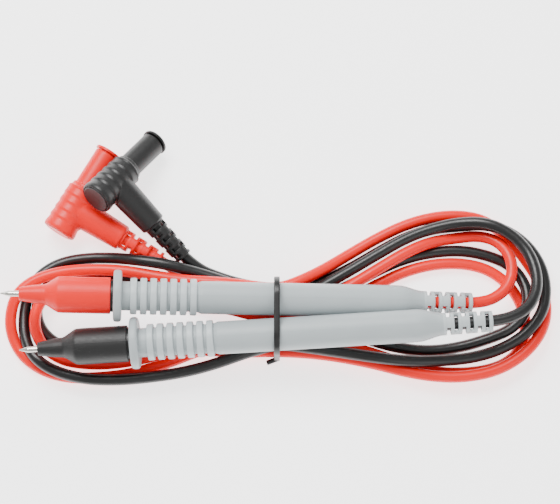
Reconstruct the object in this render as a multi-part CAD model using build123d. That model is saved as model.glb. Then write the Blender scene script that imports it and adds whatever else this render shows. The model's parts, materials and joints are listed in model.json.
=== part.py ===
from build123d import *
import math
import os

# A pair of multimeter test leads, tied in a bundle. Millimetres, +Z up.
# The origin lies on the surface that the bundle rests on, under the middle of the two
# probes. +X runs from the needle tips to the cord ends of the probes.

# ---- where the two probes lie: needle tip, turn about Z, and tilt (up towards the cord) ----
red_tip = Vector(-78.65, 7.67, 21.46)
red_turn = -0.45
red_tilt = -4.5
black_tip = Vector(-73.1, -9.56, 13.59)
black_turn = 3.3
black_tilt = 1.6

# ---- where the two plugs lie: middle of the closed end, and the way the shroud points ----
red_plug_end = Vector(-62.52, 30.73, 5.75)
red_plug_turn = 59.0
red_plug_tilt = 0.0
red_arm_turn = -31.0
red_arm_tilt = -4.0
black_plug_end = Vector(-49.22, 39.36, 17.14)
black_plug_turn = 51.0
black_plug_tilt = -23.5
black_arm_turn = -45.7
black_arm_tilt = -15.0

# ---- cords ----
cord_d = 3.8
conductor_d = 1.5
arc_share = 0.45

# ---- fits ----
running = 0.05
free_gap = 0.3
seated = 0.01

# ---- probe, lengths measured from the needle tip along the axis ----
needle_d = 1.9
needle_tip_radius = 0.12
shank_step = 0.3
shank_d = 3.0
needle_point = 2.8
cap_front = 6.1
cap_mouth = 35.3
cap_d = 11.8
cap_nose_d = 4.3
cap_neck_d = 6.6
cap_cone_start = 14.5
cap_shoulder = 18.5
core_d = 10.5
core_tail_d = 8.0
core_start = 19.1
guard_start = 36.2
guard_d = 16.8
guard_width = 2.7
grip_core_d = 9.4
rib_count = 7
rib_d = 11.8
rib_width = 2.15
rib_pitch = 3.2
rib_start = 41.6
barrel_d = 10.6
barrel_start = 63.5
barrel_end = 128.4
handle_end = 137.0
handle_end_d = 7.2
handle_bore_d = 6.4
core_tail_end = 58.5
solder_cup_d = 3.6
solder_cup_start = 56.5
solder_cup_length = 8.0

# ---- strain-relief boots ----
probe_boot_d = (7.3, 6.8)
probe_boot_length = 16.2
plug_boot_d = (7.0, 6.0)
plug_boot_length = 15.0
boot_spigot_d = 5.6
boot_spigot_length = 6.0
slot_width = 1.3
plug_cord_inset = 7.0
slot_count = 6
slot_cover = 0.76

# ---- plug, measured from the closed end along the shroud axis ----
elbow_d = 11.4
elbow_length = 16.4
ring_count = 5
ring_depth = 0.35
collar_d = 9.8
collar_length = 1.5
arm_at = 9.6
arm_root_d = 10.2
arm_end_d = 8.6
arm_length = 19.5
end_disc_d = 9.6
end_disc_thick = 1.5
shroud_d = 8.2
shroud_wall = 1.0
shroud_seat = 13.1
shroud_end = 30.8
banana_pin_d = 2.7
banana_pin_end = 27.0
flange_d = 5.0
flange_width = 2.0
cage_d = 4.0
cage_wall = 0.35
cage_length = 10.2
cage_band = 1.6
cage_bulge_length = 5.6
cage_slots = 6
cage_slot_width = 0.45
stopper_lip_d = 9.0
stopper_lip = 0.9
stopper_gap = 0.45
stopper_spigot = 1.9
terminal_barrel_d = 3.0
terminal_barrel_end = 9.0

# ---- tie ----
tie_x = 10.0
tie_wire_d = 0.7
tie_sleeve_width = 1.9
tie_sleeve_thick = 1.2
tie_slack = 0.15
tie_cords_north = 12.0
tie_cords_south = -8.5
tie_tail_start = Vector(tie_x, -11.1, 3.3)
tie_tail_turn = -160.0
tie_tail_tilt = -8.0
tie_tail = 3.6
tie_tail_d = 1.7


def axis_direction(turn, tilt):
    """Unit vector turned about +Z from +X, then tilted up by tilt degrees."""
    flat = math.cos(math.radians(tilt))
    return Vector(
        flat * math.cos(math.radians(turn)),
        flat * math.sin(math.radians(turn)),
        math.sin(math.radians(tilt)),
    )


def turned_solid(outline):
    """Revolve (radius, height) points, closed along the axis, about local Z."""
    profile = Plane.XZ * make_face(Polyline(*outline, close=True))
    return revolve(profile, Axis.Z, 360)


def rod(radius, low, high):
    """Round bar along local Z."""
    return Pos(0, 0, low) * Cylinder(
        radius, high - low, align=(Align.CENTER, Align.CENTER, Align.MIN)
    )


def cone(radius_low, radius_high, low, high):
    """Round taper along local Z."""
    return Pos(0, 0, low) * Cone(
        radius_low, radius_high, high - low, align=(Align.CENTER, Align.CENTER, Align.MIN)
    )


# ======================= probe pieces, in local Z from the tip =======================
def needle():
    points = [
        (0, 0),
        (needle_tip_radius, 0),
        (needle_d / 2, needle_point),
        (needle_d / 2, cap_front),
        (shank_d / 2, cap_front + shank_step),
        (shank_d / 2, core_tail_end),
        (0, core_tail_end),
    ]
    return turned_solid(points)


def tip_cap():
    """Push-on cap: covers the needle's shank and the front of the core."""
    outer = turned_solid(
        [
            (0, cap_front),
            (cap_nose_d / 2 - 0.3, cap_front),
            (cap_nose_d / 2, cap_front + 0.3),
            (cap_neck_d / 2 - 0.5, cap_front + 5.1),
            (cap_neck_d / 2, cap_cone_start),
            (cap_d / 2 - 0.4, cap_shoulder - 0.5),
            (cap_d / 2, cap_shoulder + 0.5),
            (cap_d / 2, cap_mouth),
            (0, cap_mouth),
        ]
    )
    needle_hole = rod(shank_d / 2 + running, cap_front - 1, cap_mouth)
    socket = rod(core_d / 2 + running, core_start - free_gap, cap_mouth + 1)
    return outer - needle_hole - socket


def core():
    """Inner moulding: carries the needle, and the handle is moulded over its tail."""
    body = rod(core_d / 2, core_start, guard_start)
    body = chamfer(body.edges().group_by(Axis.Z)[0], 0.6)
    tail = rod(core_tail_d / 2, guard_start, core_tail_end)
    bore = rod(shank_d / 2 + seated, core_start - 1, core_tail_end + 1)
    pocket = rod(solder_cup_d / 2 + running, solder_cup_start, core_tail_end + 1)
    return body + tail - bore - pocket


def handle_barrel_outline():
    """Right half of the handle's smooth part, from the last rib to the cord end."""
    shoulder = barrel_start + 1.0
    mid = (barrel_end + handle_end) / 2
    half_drop = (barrel_d + handle_end_d) / 4
    end_radius = handle_end_d / 2
    lines = (
        Line((0, rib_start), (grip_core_d / 2, rib_start))
        + Line((grip_core_d / 2, rib_start), (grip_core_d / 2, barrel_start - 0.6))
        + Line((grip_core_d / 2, barrel_start - 0.6), (barrel_d / 2, shoulder))
        + Line((barrel_d / 2, shoulder), (barrel_d / 2, barrel_end))
        + TangentArc((barrel_d / 2, barrel_end), (half_drop, mid), tangent=(0, 1))
        + ThreePointArc(
            (half_drop, mid),
            (end_radius + (half_drop - end_radius) * 0.27, (mid + handle_end) / 2),
            (end_radius, handle_end),
        )
        + Line((end_radius, handle_end), (0, handle_end))
        + Line((0, handle_end), (0, rib_start))
    )
    return lines


def finger_guard():
    """Round-rimmed disc that keeps fingers off the needle."""
    disc = rod(guard_d / 2, guard_start, guard_start + guard_width)
    return fillet(disc.edges(), guard_width * 0.46)


def grip_rib(index):
    low = rib_start + index * rib_pitch
    ring = rod(rib_d / 2, low, low + rib_width)
    return fillet(ring.edges(), 0.5)


def handle():
    barrel = revolve(Plane.XZ * make_face(handle_barrel_outline()), Axis.Z, 360)
    neck = rod(grip_core_d / 2, guard_start + guard_width / 2, rib_start + 0.5)
    body = barrel + neck + finger_guard()
    for index in range(rib_count):
        body += grip_rib(index)
    core_bore = rod(core_tail_d / 2 + seated, guard_start - 1, core_tail_end)
    hollow = rod(handle_bore_d / 2, core_tail_end, handle_end + 1)
    return body - core_bore - hollow


def solder_cup():
    low = solder_cup_start
    high = solder_cup_start + solder_cup_length
    cup = rod(solder_cup_d / 2, low, high)
    front_hole = rod(shank_d / 2 + seated, low - 1, core_tail_end + seated)
    rear_hole = rod(conductor_d / 2 + seated, core_tail_end, high + 1)
    return cup - front_hole - rear_hole


def slotted_boot(start, length, diameters, bore_d):
    """Tapered strain relief with slots cut crosswise, alternately on two sides."""
    body = cone(diameters[0] / 2, diameters[1] / 2, start, start + length)
    body = chamfer(body.edges().group_by(Axis.Z)[-1], 0.35)
    spigot = rod(boot_spigot_d / 2, start - boot_spigot_length, start)
    body = body + spigot - rod(bore_d / 2, start - boot_spigot_length - 1, start + length + 1)
    pitch = length / (slot_count + 0.55)
    reach = diameters[0]
    cover = diameters[1] * slot_cover
    for index in range(slot_count):
        at = start + pitch * (index + 0.55)
        for side in (-1, 1):
            offset = side * (bore_d / 2 * 0.55 + reach / 2)
            if index % 2 == 0:
                cut = Pos(0, offset, at) * Box(cover, reach, slot_width)
            else:
                cut = Pos(offset, 0, at) * Box(reach, cover, slot_width)
            body -= cut
    return body


def probe_boot():
    return slotted_boot(handle_end, probe_boot_length, probe_boot_d, cord_d + 2 * running)


def probe_lead_end():
    """The lead's end in the handle: jacketed in the boot, stripped up to the solder cup."""
    jacket_start = handle_end - boot_spigot_length
    jacket = rod(cord_d / 2, jacket_start, probe_cord_start())
    conductor = rod(conductor_d / 2, core_tail_end + 0.3, jacket_start)
    return jacket + conductor


def probe_cord_start():
    """Where the free cord's tube starts, inside the boot."""
    return handle_end + probe_boot_length - cord_d


# ======================= plug pieces, in local Z from the closed end =======================
def plug_axis_body():
    """Ringed elbow: saw-tooth grooves round a short stout barrel, then a collar."""
    step = (elbow_length - 2.0) / ring_count
    radius = elbow_d / 2
    points = [(0, 0.3), (radius - 0.5, 0.3), (radius - 0.1, 0.7), (radius, 1.6)]
    for index in range(ring_count):
        low = 1.6 + index * step
        points.append((radius - ring_depth, low + step * 0.80))
        points.append((radius - 0.02 * (index + 1), low + step))
    points.append((radius - 0.6, elbow_length))
    points.append((collar_d / 2, elbow_length))
    points.append((collar_d / 2 - 0.3, elbow_length + collar_length))
    points.append((0, elbow_length + collar_length))
    return turned_solid(points)


def plug_arm():
    """Side arm for the cord, a taper along local X."""
    taper = cone(arm_root_d / 2, arm_end_d / 2, 0, arm_length)
    taper = chamfer(taper.edges().group_by(Axis.Z)[-1], 0.5)
    return Pos(0, 0, arm_at) * Rot(0, 90, 0) * taper


def along_arm(shape):
    """Lay a shape made along local Z onto the arm's axis."""
    return Pos(0, 0, arm_at) * Rot(0, 90, 0) * shape


def plug_housing():
    body = plug_axis_body() + plug_arm()
    disc_seat = rod(end_disc_d / 2 + running, -1, end_disc_thick + 0.3)
    chamber = rod(flange_d / 2 + seated, end_disc_thick, shroud_seat)
    front = rod(shroud_d / 2 + seated, shroud_seat, elbow_length + collar_length + 1)
    arm_bore = along_arm(rod(cord_d / 2 + running, 2.0, arm_length))
    boot_seat = along_arm(
        rod(boot_spigot_d / 2 + running, arm_length - boot_spigot_length - 0.2, arm_length + 1)
    )
    return body - disc_seat - chamber - front - arm_bore - boot_seat


def plug_end_disc():
    """Push-in cover of the closed end, faintly domed."""
    disc = rod(end_disc_d / 2, 0.1, end_disc_thick + 0.25)
    return fillet(disc.edges().group_by(Axis.Z)[0], 0.4)


def plug_shroud():
    tube = rod(shroud_d / 2, shroud_seat, shroud_end)
    tube = chamfer(tube.edges().group_by(Axis.Z)[-1], 0.25)
    inner = rod(shroud_d / 2 - shroud_wall, shroud_seat + 0.8, shroud_end + 1)
    pin_hole = rod(flange_d / 2 - 0.6, shroud_seat - 1, shroud_end)
    return tube - inner - pin_hole


def cage_start():
    return banana_pin_end - 0.9 - cage_length


def banana_pin():
    radius = banana_pin_d / 2
    shoulder = cage_d / 2 - 0.2
    points = [
        (0, terminal_low() - 0.4),
        (radius - 0.15, terminal_low() - 0.4),
        (radius - 0.15, shroud_seat - flange_width),
        (flange_d / 2, shroud_seat - flange_width),
        (flange_d / 2, shroud_seat),
        (shoulder, shroud_seat),
        (shoulder, cage_start() - 0.1),
        (radius, cage_start() - 0.1),
        (radius, banana_pin_end - 0.8),
        (shoulder - 0.1, banana_pin_end - 0.8),
        (shoulder - 0.1, banana_pin_end - 0.45),
        (radius - 0.5, banana_pin_end),
        (0, banana_pin_end),
    ]
    return turned_solid(points)


def spring_cage():
    """Slotted spring sleeve that turns on the pin and grips a 4 mm socket."""
    low = cage_start()
    high = low + cage_length
    middle = (low + high) / 2
    inner = banana_pin_d / 2 + running
    grow = cage_d / 2 - cage_wall - inner
    half = cage_bulge_length / 2
    outer_band = inner + cage_wall
    points = [
        (inner, low),
        (outer_band, low),
        (outer_band, low + cage_band),
        (cage_d / 2, middle - half),
        (cage_d / 2, middle + half),
        (outer_band, high - cage_band),
        (outer_band, high),
        (inner, high),
        (inner, high - cage_band + 0.1),
        (inner + grow, middle + half - 0.1),
        (inner + grow, middle - half + 0.1),
        (inner, low + cage_band - 0.1),
    ]
    cage = turned_solid(points)
    for index in range(cage_slots):
        slot = Pos(cage_d / 2, 0, middle) * Box(
            cage_d, cage_slot_width, cage_length - 1.2 * cage_band
        )
        cage -= Rot(0, 0, index * 360 / cage_slots) * slot
    return cage


def terminal_low():
    return arm_at - 0.9


def plug_terminal():
    """Ring terminal round the pin's rear, with a crimp barrel into the arm."""
    radius = banana_pin_d / 2 - 0.15
    ring = rod(flange_d / 2 - 0.05, terminal_low(), arm_at + 0.9)
    barrel = along_arm(rod(terminal_barrel_d / 2, radius + 0.2, terminal_barrel_end))
    hole = rod(radius + seated, terminal_low() - 2, arm_at + 2)
    wire_hole = along_arm(
        rod(conductor_d / 2 + seated, flange_d / 2 + 0.6, terminal_barrel_end + 1)
    )
    return ring + barrel - hole - wire_hole


def plug_lead_end():
    """The lead's end in the arm: stripped in the crimp barrel, jacketed in the boot."""
    jacket_start = terminal_barrel_end + 0.5
    jacket = rod(cord_d / 2, jacket_start, plug_cord_start())
    conductor = rod(conductor_d / 2, flange_d / 2 + 0.8, jacket_start)
    return along_arm(jacket + conductor)


def plug_cord_start():
    return arm_length + plug_boot_length - plug_cord_inset


def plug_boot():
    boot = slotted_boot(0, plug_boot_length, plug_boot_d, cord_d + 2 * running)
    return along_arm(Pos(0, 0, arm_length) * boot)


def transport_stopper():
    """Push-in cover of the shroud's mouth."""
    low = shroud_end + stopper_gap
    lip = rod(stopper_lip_d / 2, low, low + stopper_lip)
    lip = fillet(lip.edges().group_by(Axis.Z)[-1], 0.3)
    spigot_d = shroud_d - 2 * shroud_wall - 2 * running
    spigot = rod(spigot_d / 2, shroud_end - stopper_spigot, low + 0.1)
    return lip + spigot


# ======================= cords =======================
red_route = [
    (-34.07, 24.83, 3.83),
    (-25.1, 19.44, 3.1),
    (-15.0, 14.3, 1.95),
    (-3.5, 9.1, 1.95),
    (10.0, 3.5, 3.6),
    (20.0, 3.4, 2.6),
    (32.0, 8.0, 1.9),
    (44.0, 14.4, 1.9),
    (53.0, 18.6, 1.9),
    (63.0, 21.0, 1.9),
    (72.5, 21.0, 1.9),
    (80.5, 18.8, 1.9),
    (86.9, 13.8, 1.9),
    (91.0, 7.0, 1.9),
    (92.3, -0.8, 1.9),
    (90.2, -8.0, 1.9),
    (84.6, -12.9, 1.9),
    (76.4, -15.2, 1.9),
    (66.0, -15.7, 1.9),
    (56.0, -14.1, 1.9),
    (47.5, -11.0, 1.9),
    (37.5, -7.7, 1.9),
    (25.0, -5.3, 2.4),
    (10.0, -4.4, 3.6),
    (-3.0, -5.0, 2.2),
    (-14.0, -7.4, 1.9),
    (-25.0, -12.0, 1.9),
    (-37.0, -15.7, 1.9),
    (-48.0, -17.1, 1.9),
    (-58.0, -17.2, 1.9),
    (-66.8, -14.9, 1.9),
    (-73.6, -10.0, 1.9),
    (-77.2, -3.6, 1.9),
    (-78.0, 2.6, 3.2),
    (-76.0, 9.6, 5.6),
    (-70.6, 14.6, 5.9),
    (-61.0, 17.7, 5.8),
    (-50.0, 18.4, 5.8),
    (-40.0, 17.9, 5.8),
    (-30.0, 16.0, 6.3),
    (-20.0, 14.0, 9.0),
    (-10.0, 13.3, 10.0),
    (0.0, 12.3, 9.8),
    (10.0, 11.4, 7.2),
    (18.0, 14.5, 6.4),
    (25.5, 18.5, 4.6),
    (34.0, 24.0, 2.4),
    (43.0, 29.4, 1.9),
    (52.5, 34.1, 1.9),
    (62.0, 36.8, 1.9),
    (71.0, 37.4, 1.9),
    (79.0, 35.8, 1.9),
    (85.6, 30.8, 1.9),
    (90.8, 24.6, 1.9),
    (95.2, 18.0, 1.9),
    (98.6, 10.8, 1.9),
    (98.9, 3.2, 2.6),
    (96.0, -4.0, 4.6),
    (90.0, -10.6, 5.6),
    (81.5, -15.4, 5.7),
    (71.0, -17.4, 5.6),
    (61.0, -17.1, 5.2),
    (51.0, -15.3, 5.0),
    (40.0, -12.2, 3.8),
    (25.0, -9.4, 3.1),
    (10.0, -8.5, 3.6),
    (0.0, -8.8, 3.1),
    (-9.0, -8.6, 5.2),
    (-18.0, -8.5, 5.8),
    (-27.0, -9.2, 4.8),
    (-36.0, -11.3, 2.0),
    (-45.0, -12.6, 1.9),
    (-53.0, -12.6, 1.9),
    (-60.6, -11.4, 2.3),
    (-66.6, -7.4, 4.4),
    (-69.6, -1.2, 5.8),
    (-69.0, 5.6, 5.8),
    (-64.9, 11.0, 5.8),
    (-58.4, 13.4, 5.6),
    (-50.0, 13.8, 4.6),
    (-40.0, 12.4, 2.4),
    (-30.0, 10.2, 1.9),
    (-18.0, 7.8, 1.9),
    (-7.0, 5.8, 3.5),
    (2.0, 3.0, 6.0),
    (10.0, 1.6, 7.1),
    (19.0, 3.6, 6.6),
    (28.0, 9.2, 5.7),
    (36.0, 14.0, 5.8),
    (44.0, 18.9, 5.8),
    (52.5, 24.1, 5.7),
    (61.0, 27.9, 4.6),
    (70.0, 29.6, 2.2),
    (77.5, 30.2, 3.0),
    (83.6, 27.6, 5.2),
    (87.2, 22.0, 6.8),
    (87.2, 15.3, 7.8),
    (83.9, 9.8, 8.7),
    (77.2, 6.45, 9.2),
    (70.29, 6.5, 9.74),
]

black_route = [
    (-25.13, 27.19, 6.19),
    (-17.71, 19.59, 3.34),
    (-8.0, 15.8, 1.95),
    (1.0, 13.4, 1.95),
    (10.0, 12.0, 3.6),
    (19.0, 13.2, 2.2),
    (27.0, 15.8, 1.9),
    (35.5, 20.0, 1.9),
    (44.0, 25.1, 1.9),
    (52.5, 29.7, 1.9),
    (61.0, 32.6, 1.9),
    (70.0, 33.5, 2.6),
    (79.0, 33.6, 5.7),
    (87.0, 31.0, 5.9),
    (93.4, 25.8, 5.8),
    (97.4, 18.8, 5.8),
    (98.6, 11.0, 5.8),
    (96.9, 3.4, 6.4),
    (91.4, -3.4, 6.4),
    (83.5, -8.2, 5.8),
    (74.0, -11.0, 5.4),
    (64.0, -12.0, 5.8),
    (54.0, -12.4, 7.4),
    (44.0, -11.5, 8.2),
    (32.0, -9.6, 7.4),
    (20.0, -7.8, 7.2),
    (10.0, -6.6, 7.2),
    (0.0, -9.6, 7.4),
    (-10.0, -13.1, 6.2),
    (-20.0, -15.7, 5.7),
    (-31.0, -17.4, 5.7),
    (-43.0, -18.4, 5.8),
    (-54.0, -17.9, 5.8),
    (-64.0, -14.9, 5.8),
    (-70.2, -10.0, 5.5),
    (-73.1, -3.4, 3.0),
    (-73.5, 4.0, 1.9),
    (-72.4, 11.0, 1.9),
    (-68.6, 17.2, 1.9),
    (-62.0, 21.3, 1.9),
    (-53.0, 22.9, 1.9),
    (-44.0, 22.6, 3.6),
    (-35.0, 21.0, 8.0),
    (-26.0, 19.5, 8.5),
    (-17.0, 17.3, 6.6),
    (-7.0, 14.2, 6.1),
    (1.0, 11.1, 5.4),
    (10.0, 7.3, 3.6),
    (22.0, 8.6, 1.9),
    (33.0, 13.0, 1.9),
    (44.0, 19.1, 1.9),
    (53.0, 22.9, 1.9),
    (62.5, 25.0, 1.9),
    (72.0, 25.4, 1.9),
    (80.5, 23.6, 1.9),
    (88.0, 20.2, 1.9),
    (92.6, 12.6, 3.9),
    (92.1, 4.6, 5.9),
    (87.0, -1.6, 5.9),
    (79.5, -4.4, 3.4),
    (70.5, -7.0, 1.9),
    (60.0, -8.4, 1.9),
    (49.0, -7.2, 1.9),
    (37.0, -3.4, 1.9),
    (24.0, -1.2, 2.4),
    (10.0, -0.4, 3.6),
    (-3.0, -0.9, 2.2),
    (-16.0, -3.4, 1.9),
    (-29.0, -6.0, 1.9),
    (-42.0, -8.0, 1.9),
    (-52.0, -8.3, 1.9),
    (-60.4, -6.9, 1.9),
    (-66.2, -3.3, 1.9),
    (-69.3, 2.2, 1.9),
    (-69.2, 8.6, 1.9),
    (-65.8, 13.9, 1.9),
    (-60.0, 16.9, 1.9),
    (-51.0, 17.6, 1.9),
    (-40.5, 16.6, 1.9),
    (-30.0, 14.4, 1.9),
    (-20.0, 12.0, 2.8),
    (-12.0, 10.4, 5.7),
    (-2.0, 7.8, 7.2),
    (10.0, 5.6, 7.2),
    (19.0, 9.4, 6.2),
    (27.0, 13.8, 5.7),
    (35.5, 18.8, 5.7),
    (44.0, 23.9, 5.7),
    (52.5, 28.8, 5.7),
    (61.0, 32.0, 5.9),
    (70.0, 33.8, 7.2),
    (79.0, 33.4, 9.6),
    (86.6, 29.8, 9.8),
    (92.2, 23.8, 10.4),
    (94.6, 16.3, 12.2),
    (94.2, 9.4, 14.4),
    (90.7, 3.3, 16.7),
    (83.2, -0.55, 17.95),
    (75.99, -0.96, 17.76),
]


def corner_radii(points):
    """Each corner's arc, as large as its two runs allow."""
    radii = []
    for before, at, after in zip(points, points[1:], points[2:]):
        run_in = Vector(*at) - Vector(*before)
        run_out = Vector(*after) - Vector(*at)
        half_turn = math.radians(run_in.get_angle(run_out)) / 2
        radii.append(arc_share * min(run_in.length, run_out.length) / math.tan(half_turn))
    return radii


def cord_tube(name, points):
    radii = corner_radii(points)
    path = FilletPolyline(*points, radius=radii)
    start = Vector(*points[0])
    section = Plane(origin=start, z_dir=Vector(*points[1]) - start) * Circle(cord_d / 2)
    tube = sweep(section, path=path)
    expected = math.pi * (cord_d / 2) ** 2 * path.length
    runs = [(Vector(*b) - Vector(*a)).length for a, b in zip(points, points[1:])]
    print(name, "length", round(path.length, 1), "runs", round(min(runs), 1), round(max(runs), 1))
    print(name, "radii", [round(value, 1) for value in radii])
    print(name, "volume over section times length", round(tube.volume / expected, 4))
    return tube


# ======================= tie =======================
def probe_at(tip, turn, tilt, x):
    """The point where a probe's axis passes a given x."""
    direction = axis_direction(turn, tilt)
    return tip + direction * ((x - tip.X) / direction.X)


def tie_loop(width, thick):
    """Flat loop over both handles and under the cords between them."""
    red = probe_at(red_tip, red_turn, red_tilt, tie_x)
    black = probe_at(black_tip, black_turn, black_tilt, tie_x)
    handle_reach = barrel_d / 2 + tie_slack + tie_sleeve_thick / 2
    cord_reach = cord_d / 2 + tie_slack + tie_sleeve_thick / 2
    low = tie_sleeve_thick / 2
    top = max(red.Z, black.Z) + handle_reach
    corners = [
        (red.Y + handle_reach, top),
        (tie_cords_north + cord_reach, low),
        (tie_cords_south - cord_reach, low),
        (black.Y - handle_reach, top),
    ]
    radii = [handle_reach, cord_reach, cord_reach, handle_reach]
    middle = make_face(FilletPolyline(*corners, radius=radii, close=True))
    ring = offset(middle, thick / 2) - offset(middle, -thick / 2)
    return Plane.YZ.offset(tie_x) * extrude(ring, width / 2, both=True)


def tie_tail_rod(width):
    """One twisted end, lying low beside the handles."""
    direction = axis_direction(tie_tail_turn, tie_tail_tilt)
    place = Plane(origin=tie_tail_start, z_dir=direction).location
    return place * rod(width / 2, 0, tie_tail)


def tie_wire():
    return tie_loop(tie_wire_d, tie_wire_d) + tie_tail_rod(tie_wire_d)


def tie_sleeve():
    band = tie_loop(tie_sleeve_width, tie_sleeve_thick)
    tail = tie_tail_rod(tie_tail_d)
    return band + tail - tie_wire()


NODES = {}


def add(name, shape):
    NODES[name] = shape


def place_probe(colour, tip, turn, tilt):
    direction = axis_direction(turn, tilt)
    place = Plane(origin=tip, x_dir=Vector(0, 0, 1), z_dir=direction).location
    add(colour + "_needle", place * needle())
    add(colour + "_tip_cap", place * tip_cap())
    add(colour + "_core", place * core())
    add(colour + "_handle", place * handle())
    add(colour + "_solder_cup", place * solder_cup())
    add(colour + "_probe_boot", place * probe_boot())
    add(colour + "_probe_lead_end", place * probe_lead_end())


def place_plug(colour, end, turn, tilt, arm_turn, arm_tilt):
    place = Plane(
        origin=end,
        x_dir=axis_direction(arm_turn, arm_tilt),
        z_dir=axis_direction(turn, tilt),
    ).location
    add(colour + "_plug_housing", place * plug_housing())
    add(colour + "_plug_end_disc", place * plug_end_disc())
    add(colour + "_plug_shroud", place * plug_shroud())
    add(colour + "_banana_pin", place * banana_pin())
    add(colour + "_spring_cage", place * spring_cage())
    add(colour + "_plug_terminal", place * plug_terminal())
    add(colour + "_plug_boot", place * plug_boot())
    add(colour + "_plug_lead_end", place * plug_lead_end())
    add(colour + "_stopper", place * transport_stopper())


place_probe("red", red_tip, red_turn, red_tilt)
place_probe("black", black_tip, black_turn, black_tilt)
place_plug("red", red_plug_end, red_plug_turn, red_plug_tilt, red_arm_turn, red_arm_tilt)
place_plug(
    "black", black_plug_end, black_plug_turn, black_plug_tilt, black_arm_turn, black_arm_tilt
)
add("red_cord", cord_tube("red_cord", red_route))
add("black_cord", cord_tube("black_cord", black_route))
add("tie_sleeve", tie_sleeve())
add("tie_wire", tie_wire())

os.makedirs("parts", exist_ok=True)
for name, shape in NODES.items():
    shape.label = name
    export_step(shape, "parts/" + name + ".step")
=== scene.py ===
"""A pair of multimeter test leads tied in a bundle. Metres, +Z up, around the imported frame."""

import json
import math

import bmesh
import bpy
from mathutils import Matrix, Vector


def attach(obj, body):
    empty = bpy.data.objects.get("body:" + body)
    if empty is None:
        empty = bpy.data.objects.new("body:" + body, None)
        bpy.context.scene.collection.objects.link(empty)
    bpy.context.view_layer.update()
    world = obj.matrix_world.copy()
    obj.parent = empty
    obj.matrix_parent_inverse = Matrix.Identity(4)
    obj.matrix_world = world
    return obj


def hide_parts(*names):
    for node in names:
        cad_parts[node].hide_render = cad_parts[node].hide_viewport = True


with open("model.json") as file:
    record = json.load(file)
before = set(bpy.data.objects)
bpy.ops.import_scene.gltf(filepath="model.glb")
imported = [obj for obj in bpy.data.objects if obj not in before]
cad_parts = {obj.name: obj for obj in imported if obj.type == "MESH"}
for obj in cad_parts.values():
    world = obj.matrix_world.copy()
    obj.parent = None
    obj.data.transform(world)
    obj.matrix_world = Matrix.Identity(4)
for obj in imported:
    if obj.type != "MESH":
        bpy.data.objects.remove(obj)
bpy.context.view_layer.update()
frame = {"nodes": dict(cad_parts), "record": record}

MM = 0.001
ROOT = "leads"

# ---- cords ----
CORD_D = 3.8 * MM

# ---- probe, measured from the needle tip along its axis ----
MOUNT_FROM_TIP = 4.45 * MM
SHANK_D = 3.0 * MM
CAP_FRONT = 6.1 * MM
CAP_MOUTH = 35.3 * MM
CAP_D = 11.8 * MM
CAP_NOSE_D = 4.3 * MM
CAP_NECK_D = 6.6 * MM
CAP_CONE_START = 14.5 * MM
CAP_SHOULDER = 18.5 * MM
CAP_BORE_D = 10.6 * MM
CAP_NOSE_LENGTH = 5.1 * MM
CAP_NECK_IN = 0.3 * MM
CAP_SHOULDER_IN = 0.1 * MM
CAP_SHOULDER_LENGTH = 2.0 * MM
CAP_ROOF = 0.3 * MM
CAP_HOLE_CLEARANCE = 0.05 * MM
CAP_EASING = 0.6 * MM
GUARD_START = 36.2 * MM
GUARD_D = 16.8 * MM
GUARD_WIDTH = 2.7 * MM
GUARD_EASING = 1.5 * MM
GRIP_CORE_D = 9.4 * MM
RIB_COUNT = 7
RIB_D = 11.8 * MM
RIB_WIDTH = 2.15 * MM
RIB_PITCH = 3.2 * MM
RIB_START = 41.6 * MM
RIB_SINK = 0.2 * MM
RIB_EASING = 0.4 * MM
BARREL_D = 10.6 * MM
BARREL_START = 63.5 * MM
BARREL_END = 128.4 * MM
BARREL_RAMP = (0.6 * MM, 1.0 * MM)
BARREL_EASING = 0.35 * MM
TAPER_STEPS = 6
HANDLE_END = 137.0 * MM
HANDLE_END_D = 7.2 * MM
HANDLE_BORE_D = 6.4 * MM
CORE_TAIL_D = 8.02 * MM
CORE_TAIL_END = 58.5 * MM

# ---- slotted boots: the first ring and first bridge are placed in shares of the pitch ----
PROBE_BOOT_D = (7.3 * MM, 6.8 * MM)
PROBE_BOOT_LENGTH = 16.2 * MM
PLUG_BOOT_D = (7.0 * MM, 6.0 * MM)
PLUG_BOOT_LENGTH = 15.0 * MM
BOOT_SLOTS = 6
BOOT_SLOT_WIDTH = 1.3 * MM
BOOT_EASING = 0.22 * MM
BOOT_FIRST_RING = 0.05
BOOT_FIRST_BRIDGE = 0.55
BRIDGE_SWEEP = math.radians(60)
BRIDGE_THICKNESS = 0.9 * MM
BRIDGE_SINK = 0.05 * MM
BRIDGE_OVERLAP = 3 * BOOT_EASING

# ---- plug, measured from its closed end along the shroud ----
MOUNT_FROM_PLUG_END = 21.0 * MM
ARM_AT = 9.6 * MM
ARM_LENGTH = 19.5 * MM
ARM_DIRECTIONS = {"red": (-31.0, -4.0), "black": (-45.7, -15.0)}

# ---- turned pieces: steps round the axis, and how each corner is rounded ----
TURN_SEGMENTS = 96
CORNER_STEPS = 6
CORNER_SHARE = 0.4
CORNER_GUARD = 1.15

# ---- swept bars: steps round a boot, along a bridge and round a section's corner ----
BOOT_SEGMENTS = 64
BRIDGE_SEGMENTS = 12
FILLET_STEPS = 5

# ---- softening of moulded edges: grid size and number of smoothing passes ----
HOUSING_VOXEL = 0.22 * MM
HOUSING_PASSES = 5
TIE_VOXEL = 0.15 * MM
TIE_PASSES = 12
SMOOTH_FACTOR = 0.5
MERGE_DISTANCE = 0.001 * MM

# ---- moulded plastic ----
CLOUD_SIZE = 7 * MM
PIT_RANGE = (0.3, 0.7)
GLOSS_SPREAD = 0.06
SEAM_HEIGHT = 3.0
STREAK_WIDTH = 1.6 * MM
STREAK_STRETCH = 0.35
RUB_RANGE = (0.58, 0.78)
RUB_STRENGTH = 0.55
PLASTIC_BUMP = 0.6
EDGE_SAMPLES = 4

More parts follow.
